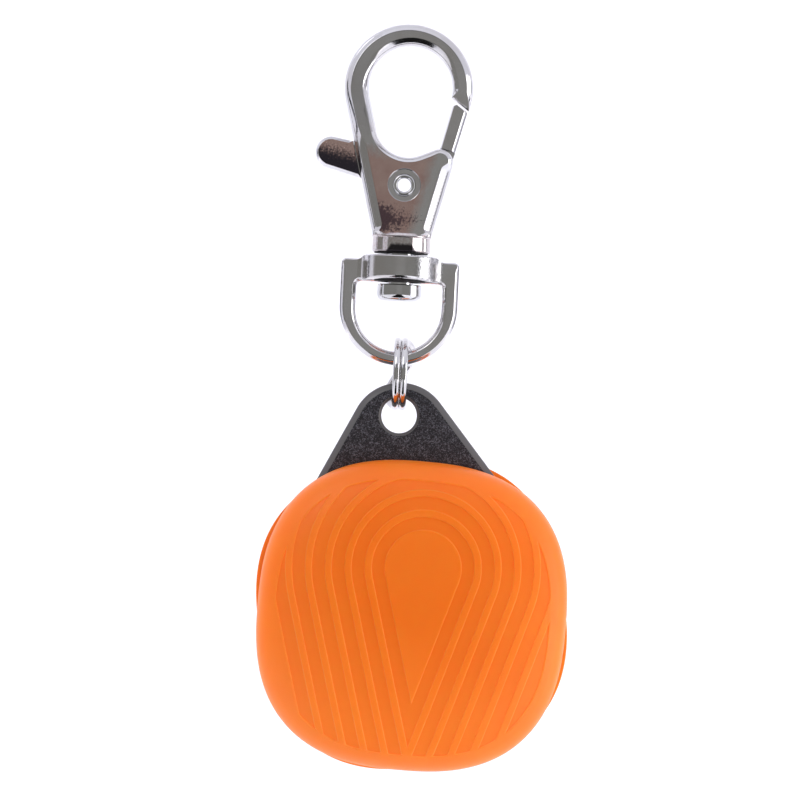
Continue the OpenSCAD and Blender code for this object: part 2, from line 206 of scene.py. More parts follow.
def rounded(corners, radius, counts):
    """A closed anticlockwise polygon with rounded corners and a given number of points on each side."""
    corners = np.array(corners, float)
    radii = np.broadcast_to(radius, len(corners))
    runs = []
    for i, corner in enumerate(corners):
        before, after = corners[i - 1], corners[(i + 1) % len(corners)]
        a = (before - corner) / np.linalg.norm(before - corner)
        b = (after - corner) / np.linalg.norm(after - corner)
        half = math.acos(float(np.clip(a @ b, -1, 1))) / 2
        reach = radii[i] / math.tan(half)
        runs.append(bend(corner + a * reach, corner, corner + b * reach, CORNER_POINTS))
    full = []
    for i, run in enumerate(runs):
        full.extend(run)
        full.extend(line(run[-1], runs[(i + 1) % len(runs)][0], count=counts[i]))
    return np.array(full)


def smoothstep(value, low, high):
    """0 below low, 1 above high and a soft rise between."""
    t = np.clip((value - low) / (high - low), 0, 1)
    return t * t * (3 - 2 * t)


def blur(values, points, reach):
    """Values along a closed line of points, averaged over a distance."""
    gap = np.linalg.norm(points[:, None] - points[None], axis=2)
    weight = np.exp(-((gap / reach) ** 2))
    return weight @ values / weight.sum(1)


def eased(width, points, corners, slope=0.7):
    """Narrows a bevel towards sharp corners, so that its inner line does not cross itself."""
    gap = np.linalg.norm(points[:, None] - np.array(corners, float)[None], axis=2).min(1)
    return np.minimum(width, 0.02 + slope * gap)


def inward(points):
    """Mitred directions into the material, on the left of each point of a closed line."""
    left = left_of(points)
    left_behind = np.roll(left, 1, 0)
    spread = 1 + (left * left_behind).sum(1)
    return (left + left_behind) / np.maximum(spread, 0.5)[:, None]


def inside(spots, loop):
    """Whether each spot is inside a closed line."""
    x, z = spots[:, 0][:, None], spots[:, 1][:, None]
    x0, z0 = loop[:, 0][None], loop[:, 1][None]
    x1, z1 = np.roll(loop[:, 0], -1)[None], np.roll(loop[:, 1], -1)[None]
    crosses = (z0 > z) != (z1 > z)
    rise = np.where(z1 == z0, 1, z1 - z0)
    return (crosses & (x < (x1 - x0) * (z - z0) / rise + x0)).sum(1) % 2 == 1


def spots_within(loops, step):
    """A hexagonal grid of spots inside the first loop and clear of every loop."""
    low, high = loops[0].min(0), loops[0].max(0)
    rows = np.arange(low[1], high[1], step * 0.866)
    columns = np.arange(low[0], high[0], step)
    grid = np.array([(x + (i % 2) * step / 2, z) for i, z in enumerate(rows) for x in columns])
    keep = inside(grid, loops[0])
    for loop in loops:
        near = np.linalg.norm(grid[:, None] - loop[None], axis=2).min(1)
        keep &= near > 0.6 * step
    for loop in loops[1:]:
        keep &= ~inside(grid, loop)
    return grid[keep]


def triangulate(loops, lines=(), spots=()):
    """Points and triangles that fill the first loop, less the others; loop points come first, in order."""
    # The filler keeps single precision, so points that meet have to be equal in it
    loops = [np.asarray(loop, np.float32).astype(float) for loop in loops]
    points, edges = [], []
    for run, closed in [(loop, 1) for loop in loops] + [(run, 0) for run in lines]:
        start, count = len(points), len(run)
        edges += [(start + i, start + (i + 1) % count) for i in range(count - 1 + closed)]
        points += [tuple(p) for p in run]
    points += [tuple(p) for p in spots]
    found = delaunay_2d_cdt([Vector(p) for p in points], edges, [], 1, 1e-5, True)
    new_points, triangles, source = found[0], found[2], found[3]
    fixed = sum(len(loop) for loop in loops)
    place, extra = {}, []
    for i, origin in enumerate(source):
        kept = [o for o in origin if o < fixed]
        place[i] = kept[0] if kept else fixed + len(extra)
        if not kept:
            extra.append(tuple(new_points[i]))
    everything = np.array([p for loop in loops for p in loop] + extra, float).reshape(-1, 2)
    faces = np.array([[place[i] for i in t] for t in triangles if len(t) == 3])
    middle = everything[faces].mean(1)
    kept = inside(middle, loops[0])
    for loop in loops[1:]:
        kept &= ~inside(middle, loop)
    return everything, faces[kept]


def strip(first, second, count, flip=False):
    """Quads between two closed rows of points that start at two indices."""
    quads = []
    for i in range(count):
        n = (i + 1) % count
        quad = [first + i, first + n, second + n, second + i]
        quads.append(quad[::-1] if flip else quad)
    return quads


def skin(rows, count, closed):
    """Faces over rows of points. Rows that are not closed on themselves get a cap at each end."""
    faces = []
    for j in range(rows if closed else rows - 1):
        faces += strip(j * count, (j + 1) % rows * count, count)
    if not closed:
        faces += [list(range(count))[::-1], list(range((rows - 1) * count, rows * count))]
    return faces


def add_object(name, data):
    """A new object in the scene."""
    made = bpy.data.objects.new(name, data)
    bpy.context.scene.collection.objects.link(made)
    return made


def mesh_object(name, points, faces):
    """A new mesh object from points in metres."""
    mesh = bpy.data.meshes.new(name)
    mesh.from_pydata(points, [], faces)
    return add_object(name, mesh)


def set_shading(piece, angle):
    """Smooth faces, split where they meet at more than an angle, with large faces kept flat."""
    mesh = piece.data
    mesh.shade_smooth()
    mesh.set_sharp_from_angle(angle=math.radians(angle))
    weighted = piece.modifiers.new("weighted_normals", "WEIGHTED_NORMAL")
    weighted.keep_sharp = True
    weighted.weight = 60


def piece_from(name, points, faces, angle=35):
    """A mesh object from millimetre points, with outward normals."""
    piece = mesh_object(name, (np.asarray(points) * MM).tolist(), [[int(i) for i in f] for f in faces])
    work = bmesh.new()
    work.from_mesh(piece.data)
    bmesh.ops.recalc_face_normals(work, faces=work.faces)
    work.to_mesh(piece.data)
    work.free()
    if angle:
        set_shading(piece, angle)
    return piece


def cut(piece, *cutters, angle=35):
    """Takes the cutters' space out of a piece."""
    piece.modifiers.clear()
    for cutter in cutters:
        taking = piece.modifiers.new("cut", "BOOLEAN")
        taking.operation = "DIFFERENCE"
        taking.solver = "EXACT"
        taking.object = cutter
    bpy.context.view_layer.update()
    result = piece.evaluated_get(bpy.context.evaluated_depsgraph_get())
    mesh = bpy.data.meshes.new_from_object(result)
    piece.modifiers.clear()
    piece.data = mesh
    for cutter in cutters:
        bpy.data.objects.remove(cutter)
    set_shading(piece, angle)


def block(low, high):
    """A plain cutter between two corners."""
    corners = [(x, y, z) for x in (low[0], high[0]) for y in (low[1], high[1]) for z in (low[2], high[2])]
    faces = [(0, 1, 3, 2), (4, 6, 7, 5), (0, 4, 5, 1), (2, 3, 7, 6), (0, 2, 6, 4), (1, 5, 7, 3)]
    return piece_from("cutter", corners, faces, None)


def turned(profile, steps, closed):
    """Points and faces of a profile of (radius, height) turned about local Z; closed joins its ends."""
    points = [(r * math.cos(2 * math.pi * k / steps), r * math.sin(2 * math.pi * k / steps), h)
              for r, h in profile for k in range(steps)]
    return np.array(points), skin(len(profile), steps, closed)


def along_y(points, centre):
    """Points drawn about local Z, with that axis laid towards the front through a centre (x, z)."""
    return np.stack([points[:, 0] + centre[0], -points[:, 2], points[:, 1] + centre[1]], 1)


def tube(path, across, along, radius, facets):
    """A round tube: each ring lies in the plane of two side directions."""
    path, across, along = (np.array(v, float)[:, None] for v in (path, across, along))
    turn = (2 * np.pi * np.arange(facets) / facets)[None, :, None]
    rings = path + radius * (np.cos(turn) * across + np.sin(turn) * along)
    return rings.reshape(-1, 3), skin(len(path), facets, False)


# The section of an edge: (share of the bevel's width, share of its depth)
SOFT_BEVEL = ((0, 0), (0.03, 0.10), (0.10, 0.26), (0.82, 0.90), (0.92, 0.975), (1, 1))
RIM_BEVEL = ((0, 0), (0.03, 0.10), (0.33, 0.60), (0.36, 0.62), (0.40, 0.63), (0.43, 0.65), (0.55, 0.77),
             (0.92, 0.96), (0.96, 0.985), (1, 1))
ROUND_BEVEL = ((0, 0), (0.03, 0.20), (0.08, 0.36), (0.15, 0.51), (0.27, 0.67), (0.45, 0.81), (0.60, 0.89),
               (0.73, 0.94), (0.86, 0.98), (1, 1))
GUARD = 0.2                 # a last row this share further in keeps the face's own shading flat


def slab(name, loops, widths, sides, top, bevel=SOFT_BEVEL, step=0.6, angle=35):
    """A solid cut from sheet, the same on its front and its back.

    loops: closed lines in X and Z, the outer one anticlockwise and each hole clockwise.
    widths: how far each loop's bevel reaches in, or each point's own way in. sides: the distance from the
    middle plane at which it starts. top(points): the distance of the face from the middle plane.
    """
    points, faces, rims = [], [], []
    for loop, width, side in zip(loops, widths, sides):
        count, first = len(loop), len(points)
        reach = width if np.ndim(width) == 2 else inward(loop) * np.broadcast_to(width, count)[:, None]
        side, inner, face_y = np.broadcast_to(side, count), loop + reach * (1 + GUARD), top(loop + reach)
        rows = [(loop + reach * np.broadcast_to(row[..., 0], count)[:, None],
                 side + (face_y - side) * row[..., 1]) for row in np.asarray(bevel, float)]
        rows.append((inner, top(inner)))
        back = len(rows) * count
        for face in (-1, 1):
            points += [(p[0], face * h, p[1]) for flat, y in rows for p, h in zip(flat, y)]
        for row in range(first, first + back - count, count):
            faces += strip(row, row + count, count)
            faces += strip(row + back, row + back + count, count, flip=True)
        faces += strip(first, first + back, count, flip=True)
        rims.append((inner, first + back - count, first + 2 * back - count))
    inner_loops = [rim[0] for rim in rims]
    flat, triangles = triangulate(inner_loops, spots=spots_within(inner_loops, step))
    fixed = sum(len(loop) for loop in inner_loops)
    height = top(flat)
    for face, pick in ((-1, 1), (1, 2)):
        index = [np.arange(rim[pick], rim[pick] + len(rim[0])) for rim in rims]
        index = np.concatenate(index + [np.arange(len(points), len(points) + len(flat) - fixed)])
        points += [(p[0], face * h, p[1]) for p, h in zip(flat[fixed:], height[fixed:])]
        faces += [list(index[t]) for t in triangles]
    return piece_from(name, points, faces, angle)


def finish_piece(piece, body, slot, material, *nodes):
    """Gives a piece its material and says what it rides on and replaces. Its slot is not used."""
    piece.data.materials.append(material)
    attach(piece, body)
    if nodes:
        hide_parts(*nodes)


def accent(piece, material, chosen):
    """Gives the chosen faces of a piece a second material."""
    piece.data.materials.append(material)
    for face in piece.data.polygons:
        face.material_index = 1 if chosen(face) else 0


# ---- Materials ----

class Value:
    """What a material's node gives, for use in plain sums."""

    def __init__(self, finish, socket):
        self.finish, self.socket = finish, socket

    def math(self, operation, other=0.0, clamp=False):
        inputs = {0: self, 1: other}
        return self.finish.node("ShaderNodeMath", 0, inputs, operation=operation, use_clamp=clamp)

    def __add__(self, other):
        return self.math("ADD", other)

    def __sub__(self, other):
        return self.math("SUBTRACT", other)

    def __mul__(self, other):
        return self.math("MULTIPLY", other)


class Finish:
    """A procedural material in the making."""

    def __init__(self, name, metallic=0.0):
        self.material = bpy.data.materials.new(name)
        self.material.use_nodes = True
        self.tree = self.material.node_tree
        self.shader = self.tree.nodes["Principled BSDF"]
        self.place = self.node("ShaderNodeTexCoord", "Object")
        self.set("Metallic", metallic)

    def feed(self, socket, value):
        """Sets a socket, or links it to another node's value."""
        if isinstance(value, Value):
            self.tree.links.new(value.socket, socket)
        else:
            socket.default_value = (*value, 1) if socket.type == "RGBA" else value

    def set(self, name, value):
        self.feed(self.shader.inputs[name], value)

    def node(self, kind, output, inputs=None, **settings):
        """Adds a node and gives one of its outputs."""
        made = self.tree.nodes.new(kind)
        for key, value in settings.items():
            setattr(made, key, value)
        for key, value in (inputs or {}).items():
            self.feed(made.inputs[key], value)
        return Value(self, made.outputs[output])

    def axis(self, letter):
        return self.node("ShaderNodeSeparateXYZ", letter, {"Vector": self.place})

    def distance(self, centre):
        """How far the surface is from a centre."""
        off = self.node("ShaderNodeVectorMath", 0, {0: self.place, 1: centre}, operation="SUBTRACT")
        return self.node("ShaderNodeVectorMath", "Value", {0: off}, operation="LENGTH")

    def attribute(self, name):
        return self.node("ShaderNodeAttribute", "Fac", attribute_name=name)

    def noise(self, size_mm, detail=2.0, roughness=0.5):
        """Noise whose features are about size_mm across."""
        return self.node("ShaderNodeTexNoise", "Fac", {
            "Vector": self.place, "Scale": 1 / (size_mm * MM), "Detail": detail, "Roughness": roughness})

    def ramp(self, value, *stops):
        """A colour ramp through (position, colour) stops; a colour may be one grey number."""
        shade = self.node("ShaderNodeValToRGB", "Color", {"Fac": value})
        elements = shade.socket.node.color_ramp.elements
        while len(elements) < len(stops):
            elements.new(0.5)
        for element, (position, colour) in zip(elements, stops):
            element.position = position
            element.color = (*np.broadcast_to(colour, 3), 1)
        return shade

    def mix(self, share, first, second):
        """A colour between two others."""
        return self.node("ShaderNodeMix", 2, {0: share, 6: first, 7: second}, data_type="RGBA")

    def done(self, colour, roughness, height, depth_mm):
        """Sets what every surface has, with bumps of a given depth, and gives the material."""
        bump = {"Height": height, "Distance": depth_mm * MM, "Strength": 1}
        self.set("Base Color", colour)
        self.set("Roughness", roughness)
        self.set("Normal", self.node("ShaderNodeBump", "Normal", bump))
        return self.material


def plated(name, tint, warm=None, rough=0.09, pits=0.006, coarse_from=None):
    """Bright plating over a cast or pressed surface: slow ripples, fine pits and cloudy tint.

    coarse_from: where along X, in millimetres, the casting turns grainy and gets painted dark specks for a
    speckled reflection.
    """
    finish = Finish(name, metallic=1)
    colour = finish.ramp(finish.noise(3.5, 3), (0.35, tint), (0.65, warm or [0.92 * c for c in tint]))
    fine = finish.noise(0.16, 3, 0.6)
    height = finish.noise(1.1, 2) * 0.5 + fine * 0.5
    if coarse_from is not None:
        grainy = (finish.axis("X") - coarse_from * MM).math("MULTIPLY", 1 / (0.8 * MM), clamp=True)
        height = height + grainy * (fine * 0.9)
        # Painted reflection: dark specks on the grainy side break up the plating's reflection there
        speck = finish.ramp(finish.noise(0.17, 2, 0.6), (0.42, 1.0), (0.54, 0.0))
        colour = finish.mix(grainy * speck, colour, [0.62 * c for c in tint])
    return finish.done(colour, finish.ramp(fine, (0.35, rough * 0.7), (0.75, rough * 1.9)), height, pits)


def plain(name, first, second, rough, size_mm, metallic=0.0, depth_mm=0.01):
    """A moulded or stamped surface: two tones in a cloudy pattern, with a fine grain."""
    finish = Finish(name, metallic)
    tone = finish.ramp(finish.noise(size_mm, 4), (0.35, first), (0.65, second))
    grain = finish.noise(size_mm / 8, 3)
    roughness = finish.ramp(grain, (0.3, rough), (0.7, min(1.0, rough + 0.15)))
    return finish.done(tone, roughness, grain, depth_mm)


def body_face_reflection_material():
    """The hook's broad face: warm-tinted plating with painted reflections: brown, near black low down, grey
    at right and top.

    The grey starts 0.26 mm further right for each millimetre up, along the right flank.
    """
    finish = Finish("nickel_face_painted_reflection", metallic=1)
    x, z = finish.axis("X"), finish.axis("Z")
    cloud, speck = finish.noise(1.6, 3, 0.55), finish.noise(0.22, 2, 0.6)
    mottle = (cloud - 0.5) * 2.2 + (speck - 0.5) * 3.2
    band = (z - DARK_REFLECTION_BAND_Z * MM).math("ABSOLUTE") * (-1 / (1.3 * MM)) + 1.0
    # Painted reflection: a near black band low on the face, fading towards the right
    dark = band - x * (1 / (3.5 * MM)) + mottle
    brown = finish.ramp(cloud, (0.3, (0.70, 0.47, 0.43)), (0.7, (0.80, 0.58, 0.53)))
    # Painted reflection: grey towards the right flank and the top
    right = (x - (z + 13.0 * MM) * 0.26) * (1 / (1.5 * MM)) + mottle * 0.2
    high = (z + 13.3 * MM) * (1 / (1.8 * MM)) + mottle * 0.25
    grey = finish.ramp(right - 1.5, (0.1, 0.0), (0.9, 1.0)).math("MAXIMUM", high, clamp=True)
    face = finish.mix(grey, brown, (0.73, 0.72, 0.72))
    colour = finish.mix(finish.ramp(dark, (0.2, 0.0), (1.0, 1.0)), face, (0.20, 0.13, 0.15))
    return finish.done(colour, finish.ramp(speck, (0.3, 0.10), (0.75, 0.24)), speck, 0.006)


def neck_shade_material():
    """Plating with painted shade that darkens it into the gap over the swivel's collar."""
    finish = Finish("nickel_neck_painted_shade", metallic=1)
    speck = finish.noise(0.25, 3, 0.6)
    # Painted shade: the plating darkens down into the gap over the collar, most in front and behind
    aside = (finish.axis("X").math("ABSOLUTE") * (-1 / (0.35 * MM)) + 3.2).math("MINIMUM", 0.0)
    depth = (finish.axis("Z") + 22.35 * MM) * (-1 / (0.5 * MM)) + ((speck - 0.5) * 0.6 + aside)
    tone = finish.ramp(speck, (0.35, (0.74, 0.72, 0.72)), (0.65, (0.66, 0.58, 0.57)))
    colour = finish.mix(finish.ramp(depth, (0.2, 0.0), (0.9, 1.0)), tone, (0.05, 0.045, 0.05))
    return finish.done(colour, finish.ramp(speck, (0.3, 0.08), (0.7, 0.22)), speck, 0.010)


def tab_face_reflection_material():
    """The thumb tab's face: painted reflections, brown above and near black below, with fine bright specks
    between.
    """
    finish = Finish("nickel_tab_painted_reflection", metallic=1)
    slope = finish.axis("Z") + finish.axis("X") * 0.22
    speck = finish.noise(0.20, 3, 0.7)
    level = (slope + 14.9 * MM) * (1 / (1.3 * MM)) + (speck - 0.5) * 3.4
    colour = finish.ramp(level, (0.15, (0.07, 0.06, 0.08)), (0.6, (0.42, 0.30, 0.29)),
                         (1.0, (0.84, 0.60, 0.55)))
    return finish.done(colour, finish.ramp(speck, (0.3, 0.10), (0.7, 0.28)), speck, 0.006)


def orange_material():
    """Translucent orange elastomer: deeper in the grooves, painted highlight on their walls, painted glow,
    faint clouds, fine matt grain.
    """
    finish = Finish("orange_elastomer")
    cloud, grain = finish.noise(9, 3), finish.noise(0.12, 2)
    raised = finish.ramp(cloud, (0.3, (0.95, 0.180, 0.006)), (0.7, (0.98, 0.205, 0.010)))
    sunk = finish.ramp(cloud, (0.3, (0.92, 0.163, 0.004)), (0.7, (0.95, 0.188, 0.008)))
    depth = finish.attribute("groove")
    # Painted highlight: the groove walls are a lighter orange, as if catching the light
    wall = finish.ramp(depth, (0.0, 0.0), (0.5, 1.0), (1.0, 0.0))
    colour = finish.mix(wall, finish.mix(depth, raised, sunk), (0.99, 0.27, 0.030))
    finish.set("Subsurface Weight", 0.6)
    finish.set("Subsurface Radius", (1.0, 0.35, 0.1))
    finish.set("Subsurface Scale", 0.003)
    finish.set("IOR", 1.40)
    # Painted glow: emission lights the cover from within, more in the thin lower part than the thick upper
    # middle, in place of light let through
    off = finish.distance(((PUCK[0] - 1) * MM, 0, (PUCK[1] + 6) * MM))
    painted_glow_share = finish.ramp(off.math("DIVIDE", 20 * MM), (0.5, 0.0), (1.0, 1.0))
    finish.set("Emission Color", finish.mix(painted_glow_share, (0.11, 0.015, 0.001), (0.23, 0.062, 0.014)))
    finish.set("Emission Strength", 1)
    return finish.done(colour, finish.ramp(grain, (0.3, 0.36), (0.7, 0.50)), grain, 0.004)


def plate_material():
    """Black powder coat: painted glints on the grain of the flat field, and a painted grey reflection on
    the smooth rolled edges.
    """
    finish = Finish("plate_black")
    cells = finish.node("ShaderNodeTexVoronoi", "Color", {"Vector": finish.place, "Scale": 1 / (0.10 * MM)})
    level = finish.node("ShaderNodeSeparateColor", "Red", {"Color": cells})
    field = finish.attribute("field")
    # Painted glints: the grain's brightest cells are lighter in colour; the same grain gives the bumps
    grain_and_glint = level * finish.ramp(finish.noise(0.9, 2, 0.5), (0.3, 0.7), (0.7, 1.0))
    tone = finish.ramp(grain_and_glint, (0.15, (0.005, 0.005, 0.007)), (0.45, (0.014, 0.013, 0.017)),
                       (0.85, (0.11, 0.11, 0.13)))
    # Painted reflection: the smooth edges outside the field are a lighter grey
    colour = finish.mix(field, (0.11, 0.105, 0.105), tone)
    return finish.done(colour, finish.ramp(field, (0.0, 0.30), (1.0, 0.62)), grain_and_glint * field, 0.03)


NICKEL = plated("nickel", (0.745, 0.74, 0.755), (0.70, 0.68, 0.68), pits=0.005)
NICKEL_CAST = plated("nickel_cast", (0.745, 0.74, 0.75), (0.68, 0.65, 0.64), rough=0.12, pits=0.016,
                     coarse_from=1.3)
NICKEL_FACE_REFLECTION = body_face_reflection_material()
NICKEL_TAB_REFLECTION = tab_face_reflection_material()
NICKEL_NECK_SHADED = neck_shade_material()
RIVET_STEEL = plated("rivet_steel", (0.76, 0.76, 0.77), rough=0.08, pits=0.002)
RING_STEEL = plated("ring_steel", (0.76, 0.75, 0.75), rough=0.07, pits=0.003)
SPRING_STEEL = plated("spring_steel", (0.72, 0.72, 0.72), rough=0.16, pits=0.002)
# Black for the gaps under the neck and in the collar's recess: painted shade
GAP_SHADE_BLACK = plain("gap_painted_shade", (0.008, 0.008, 0.009), (0.020, 0.018, 0.019), 0.55, 0.6)
ORANGE = orange_material()
PLATE = plate_material()


# ---- Snap hook ----

def flank_at(z):
    """Half width of the hook's outside at a height on its flanks."""
    return FLANK_X - (FLANK_Z - z) * math.tan(math.radians(FLANK))


def hook_outline():
    """The hook's silhouette, anticlockwise, with its bevel: way in, starting level and section."""
    lean = math.degrees(math.asin((OPENING_TOP_R - OPENING_LOW_R) / (OPENING_TOP[1] - OPENING_LOW[1])))
    loop_arc = arc((0, LOOP_Z), LOOP_R, -18.5, 180 + FLANK, 150)
    left_foot = (-flank_at(FOOT_Z), FOOT_Z)
    right_foot = (flank_at(FOOT_Z), FOOT_Z)
    apart = np.subtract(OPENING_LOW, SHOULDER)
    touch = math.degrees(math.atan2(apart[1], apart[0])
                         - math.acos((SHOULDER_R + OPENING_LOW_R) / np.linalg.norm(apart)))
    shoulder = arc(SHOULDER, SHOULDER_R, -FLANK, touch, 22)
    low = arc(OPENING_LOW, OPENING_LOW_R, touch - 180, lean - 180, 44)
    high = arc(OPENING_TOP, OPENING_TOP_R, 180 + lean, -12, 104)
    nose = line(high[-1], loop_arc[0], 0.3)
    # Each run has its bevel's width and starting level, above and below the step in thickness
    loop_edge, opening_edge, flank_edge, rim_edge = (0.74, 0.5), (0.66, 0.55), (1.25, 1.35), (0.58, 2.0)
    foot_edge, right_edge, shoulder_edge, nose_edge = (0.12, 2.6), (1.2, 1.45), (0.5, 2.1), (0.14, 1.15)
    runs = [
        (loop_arc, loop_edge, loop_edge), (line(loop_arc[-1], left_foot), loop_edge, flank_edge),
        ([left_foot], foot_edge, foot_edge), (line(left_foot, right_foot), foot_edge, foot_edge),
        ([right_foot], foot_edge, foot_edge), (line(right_foot, shoulder[0]), right_edge, right_edge),
        (shoulder, shoulder_edge, shoulder_edge),
        (line(shoulder[-1], low[0], 0.25), rim_edge, rim_edge), (low, opening_edge, rim_edge),
        (high, opening_edge, opening_edge), (nose, nose_edge, nose_edge),
    ]
    points, edges, softness = [], [], []
    for run, above, below in runs:
        run = np.array(run)
        down = smoothstep(-run[:, 1], *BEVEL_STEP)[:, None]
        points.append(run)
        edges.append(np.array(above) * (1 - down) + np.array(below) * down)
        softness.append((above is opening_edge) * smoothstep(run[:, 1], *SOFT_EDGE))
    points, edges, softness = np.concatenate(points), np.concatenate(edges), np.concatenate(softness)
    width = blur(edges[:, 0] + 0.3 * softness * smoothstep(points[:, 1], -3.6, -1.4), points, 0.5)
    width = eased(eased(width, points, [high[-1]]), points, [loop_arc[0]], 0.33)
    reach = inward(points) * width[:, None]
    foot = points[:, 1] < FOOT_Z + 0.01
    reach[foot, 0] = -points[foot, 0] / right_foot[0] * flank_edge[0]
    reach[foot, 1] = foot_edge[0]
    soft = blur(softness, points, 0.3)[None, :, None]
    section = np.array(RIM_BEVEL)[:, None] * (1 - soft) + np.array(ROUND_BEVEL)[:, None] * soft
    return points, reach, blur(edges[:, 1], points, 0.5), section


def hook_face(points):
    """Distance of the hook's face from its middle plane: the left arm thickens gently into the body."""
    down, (start, end) = -points[:, 1], ARM_SWELL
    left = (smoothstep(down, start, end) + np.clip((down - start) / (end - start), 0, 1)) / 2
    body = points[:, 1] < BODY_TOP_Z
    return LOOP_HALF + (BODY_HALF - LOOP_HALF) * np.where(points[:, 0] < 0, left, body)


def build_hook():
    points, reach, side, section = hook_outline()
    hook = slab("hook_shell", [points], [reach], [side], hook_face, bevel=section, step=0.45)
    slot = block((-20, -SLOT_HALF, SLOT_FLOOR_Z), (20, SLOT_HALF, SLOT_TOP_Z))
    seat = [(RIVET_BARREL_R, SEAT_Y), (SEAT_R - 0.06, SEAT_Y), (SEAT_R, SEAT_Y + 0.1), (SEAT_R, 2.77),
            (SEAT_R + 0.04, 2.83), (SEAT_R + 0.04, 9)]
    bore, faces = turned([(r, -h) for r, h in reversed(seat)] + seat, 96, False)
    cut(hook, slot, piece_from("cutter", along_y(bore, PIVOT), faces, None), angle=32)
    finish_piece(hook, "hook", "nickel", NICKEL, "hook_body")

    def broad(face):
        """Whether a face is on the body's front or back and outside the rivet's seat."""
        x, y, z = face.center
        off_pivot = math.hypot(x / MM - PIVOT[0], z / MM - PIVOT[1])
        return (z < BROWN_REFLECTION_TOP_Z * MM and abs(y) > 2 * MM and abs(face.normal.y) > 0.988
                and off_pivot > SEAT_R)

    # The broad faces get the material with painted reflections
    accent(hook, NICKEL_FACE_REFLECTION, broad)


def build_neck():
    """The short neck: an upper ring line, soft facets in front and behind, and a tapered foot."""
    profile = [(NECK_R - inset, z) for inset, z in (
        (0.25, -21.4), (0.05, -21.60), (0, -21.68), (0, -21.76), (0.08, -21.82), (0.12, -21.88),
        (0.08, -23.32), (0.14, -23.44), (0.28, -23.50), (0.36, -23.52), (0.36, HOOK_LOW[2]))]
    points, faces = turned(profile + [(1.6, HOOK_LOW[2]), (1.6, -21.9)], 96, True)
    angle = np.arctan2(points[:, 1], points[:, 0])
    eighth = math.pi / 4
    off = (angle + eighth / 2) % eighth - eighth / 2
    facet = math.cos(eighth / 2) / np.cos(off) * 1.012
    band = (points[:, 2] < -21.86) & (np.hypot(points[:, 0], points[:, 1]) > 2)
    beside = smoothstep(np.abs(np.cos(angle)), 0.72, 0.84)
    points[:, :2] *= np.where(band, np.minimum(facet, 1.0) * (1 - beside) + beside, 1)[:, None]
    neck = piece_from("hook_neck", points, faces, 20)
    finish_piece(neck, "hook", "nickel", NICKEL_NECK_SHADED)
    # Below NECK_FOOT_Z the neck's foot is painted black as the collar's shade
    accent(neck, GAP_SHADE_BLACK, lambda face: face.center.z < NECK_FOOT_Z * MM)


# ---- Lever, its rivet and its spring ----

def flat_top(height):
    """A slab's face at one height."""
    return lambda points: np.full(len(points), float(height))


def build_lever():
    gate_corners = [(3.80, -11.66), (5.53, -12.02), (6.72, -7.42), (5.42, -6.52), (5.02, -6.72)]
    counts = side_counts(gate_corners)
    gate = rounded(gate_corners, (0.08, 0.08, 0.22, 0.10, 0.15), counts)
    inner = rounded(inset_corners(gate_corners, (0.12, 0.44, 0.10, 0.12, 0.17)), 0.05, counts)
    piece = slab("lever_gate", [gate], [inner - gate], [0.72], flat_top(1.2), step=0.5)
    finish_piece(piece, "trigger", "nickel", NICKEL, "trigger_lever")

    arms = [(-4.9, -15.3), (-3.9, -16.86), (-1.8, -16.86), (0, -18), (2.4, -17.2), (4.7, -14.9),
            (5.58, -12.0), (3.78, -11.6), (3.55, -12.3), (1.6, -14.8), (-1.2, -14.4), (-5.8, -11.15),
            (-6.0, -13.2)]
    hub = circle(PIVOT, RIVET_BARREL_R + 0.05, 48)
    outline = rounded(arms, 0.12, side_counts(arms))
    piece = slab("lever_tongue", [outline, hub], [0.04, 0.04], [0.70, 0.70], flat_top(0.75), step=0.7)
    finish_piece(piece, "trigger", "nickel", NICKEL)

    tab_centre, tab_r = (-8.4, -12.55), 1.75
    sweep = arc(tab_centre, tab_r, 83, 257, 44)
    lower, upper = ((-flank_at(z) - 0.06, z) for z in (-15.3, -11.2))
    tab = np.concatenate([sweep, line(sweep[-1], lower), [lower], line(lower, upper), [upper],
                          line(upper, sweep[0])])

    def tab_face(points):
        """A shallow pillow between the tab's upper and lower edges."""
        off_middle = points[:, 1] + 13.0 + 0.2 * (points[:, 0] + 7.5)
        return 1.14 + 0.06 * (1 - np.minimum(1, (off_middle / 1.9) ** 2))

    width = eased(np.where(tab[:, 0] < -flank_at(tab[:, 1]) - 0.1, 0.32, 0.05), tab, [lower, upper])
    side = np.where(width < 0.06, 1.08, 0.72)
    piece = slab("lever_tab", [tab], [width], [blur(side, tab, 0.2)], tab_face, step=0.35)
    finish_piece(piece, "trigger", "nickel", NICKEL)
    # The tab's flat faces get the material with painted reflections
    accent(piece, NICKEL_TAB_REFLECTION, lambda face: abs(face.normal.y) > 0.97)


def build_eyelet():
    """The hollow rivet: a barrel with a rolled flange at each end."""
    upper = [(RIVET_BORE_R + out, EYELET_TOP - down) for out, down in (
        (0, 0.40), (0.03, 0.16), (0.09, 0.05), (0.15, 0.02), (0.22, 0), (0.38, 0.02), (0.43, 0.06),
        (0.50, 0.17), (0.53, 0.3))]
    upper += [(RIVET_BORE_R + 0.54, SEAT_Y), (RIVET_BARREL_R, SEAT_Y)]
    points, faces = turned(upper + [(r, -h) for r, h in reversed(upper)], 96, True)
    piece = piece_from("eyelet", along_y(points, PIVOT), faces, 40)
    finish_piece(piece, "hook", "rivet_steel", RIVET_STEEL, "lever_rivet")


